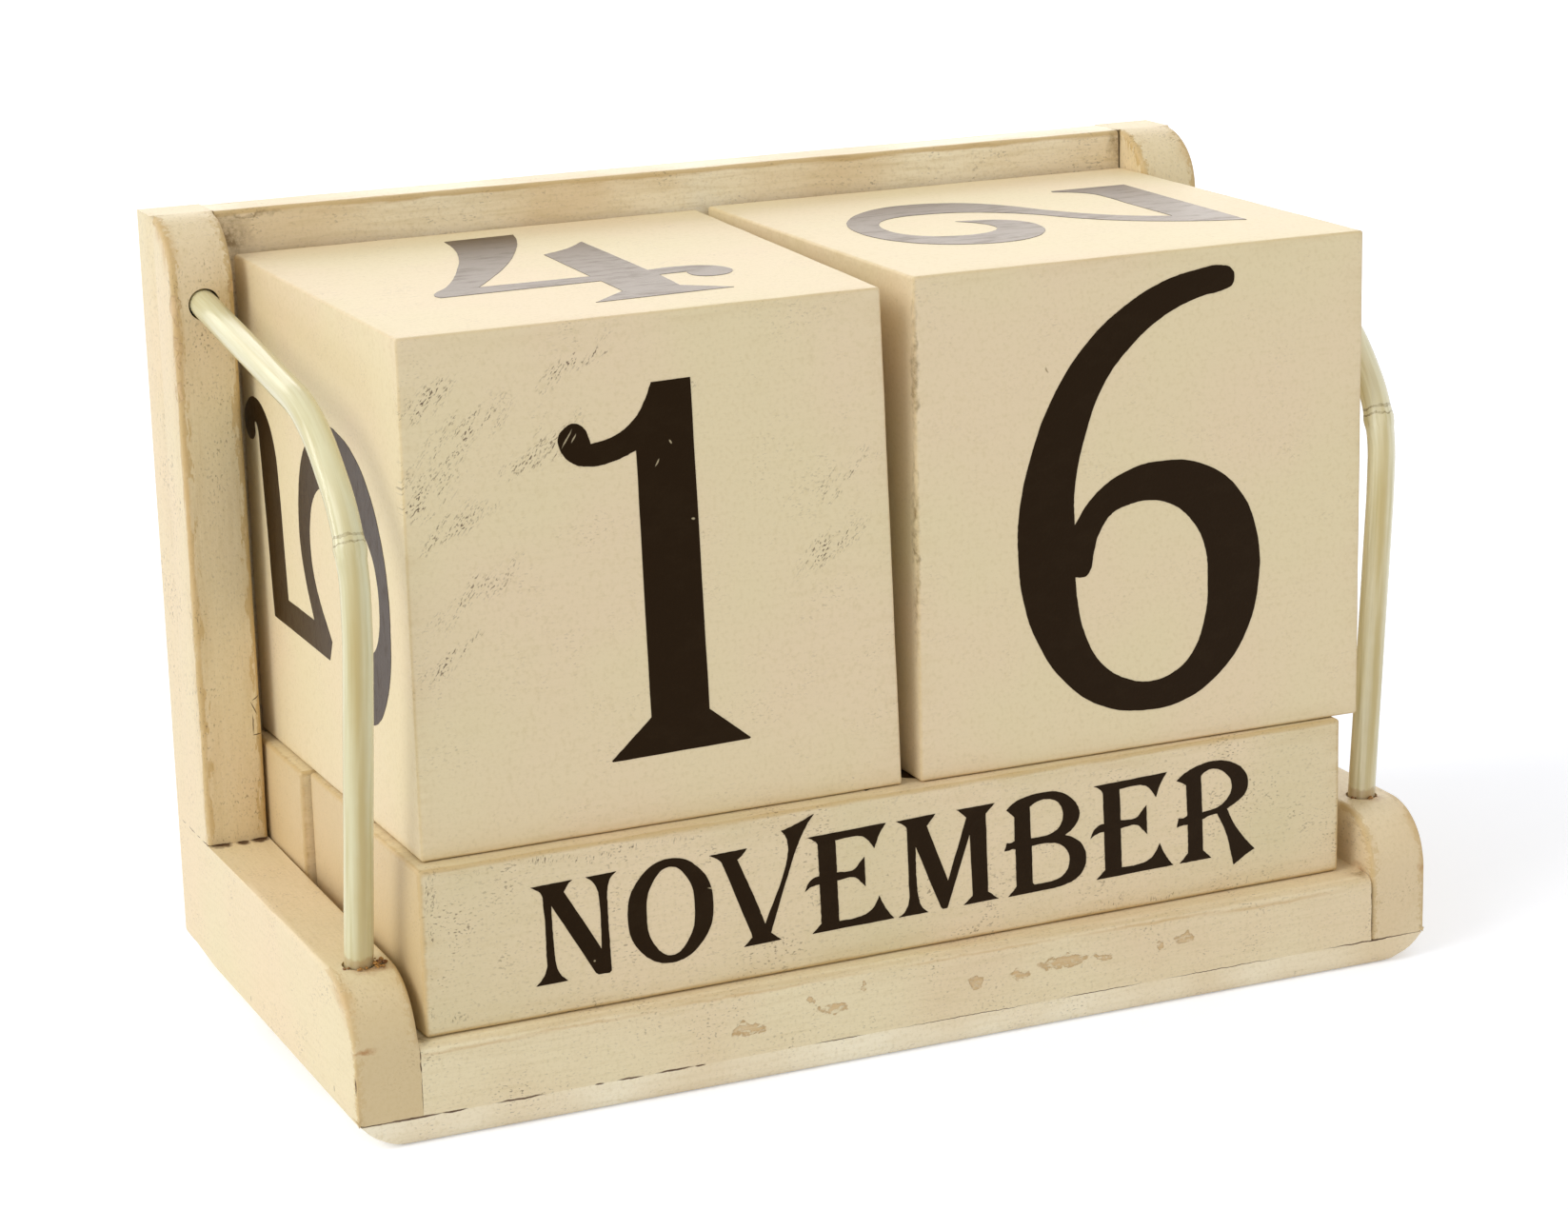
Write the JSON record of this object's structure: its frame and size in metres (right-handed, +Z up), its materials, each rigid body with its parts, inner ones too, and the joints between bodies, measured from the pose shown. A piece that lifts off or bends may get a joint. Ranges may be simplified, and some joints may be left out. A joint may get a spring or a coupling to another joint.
{
  "type": "perpetual desk calendar",
  "caption": "Painted wooden perpetual desk calendar: a tray with posts, back panel and bent cane guard rods holds loose month bars with number cubes standing on them.",
  "frame": {"origin": "middle of the underside of the base board, on the surface that the calendar stands on", "axes": "+Z up, +Y towards the back panel, +X to the right as seen from the front"},
  "size_m": [0.14, 0.072, 0.097],
  "materials": {
    "cream_paint_boards": "matte cream paint on wood, rubbed brown at the edges",
    "cream_paint_blocks": "matte cream paint on wood",
    "painted_cane": "glossy greenish cream paint on cane",
    "bare_beech": "bare wood",
    "steel_brads": "drawn steel wire",
    "printed_ink": "black-brown printed paint, satin"
  },
  "bodies": {
    "tray": {"base_board": "cream_paint_boards", "floor_board": "cream_paint_boards", "left_arm": "cream_paint_boards", "right_arm": "cream_paint_boards", "left_post": "cream_paint_boards", "right_post": "cream_paint_boards", "back_panel": "cream_paint_boards", "left_guard_rod": "painted_cane", "right_guard_rod": "painted_cane", "left_post_dowel": "bare_beech", "right_post_dowel": "bare_beech", "base_brads": "steel_brads", "panel_brads": "steel_brads"},
    "cube_left": {"date_cube_left": "cream_paint_blocks"},
    "cube_right": {"date_cube_right": "cream_paint_blocks"},
    "bar_front": {"month_bar_front": "cream_paint_blocks"},
    "bar_middle": {"month_bar_middle": "cream_paint_blocks"},
    "bar_rear": {"month_bar_rear": "cream_paint_blocks"}
  },
  "joints": [
    {"name": "lift_left_cube", "type": "slide", "parent": "tray", "child": "cube_left", "axis": [0, 0, 1], "range_m": [0, 0.075]},
    {"name": "lift_right_cube", "type": "slide", "parent": "tray", "child": "cube_right", "axis": [0, 0, 1], "range_m": [0, 0.075]},
    {"name": "draw_rear_bar", "type": "slide", "parent": "tray", "child": "bar_rear", "axis": [0, -1, 0], "range_m": [0, 0.064]},
    {"name": "draw_middle_bar", "type": "slide", "parent": "bar_rear", "child": "bar_middle", "axis": [0, -1, 0], "range_m": [0, 0.044]},
    {"name": "draw_front_bar", "type": "slide", "parent": "bar_middle", "child": "bar_front", "axis": [0, -1, 0], "range_m": [0, 0.024]}
  ]
}
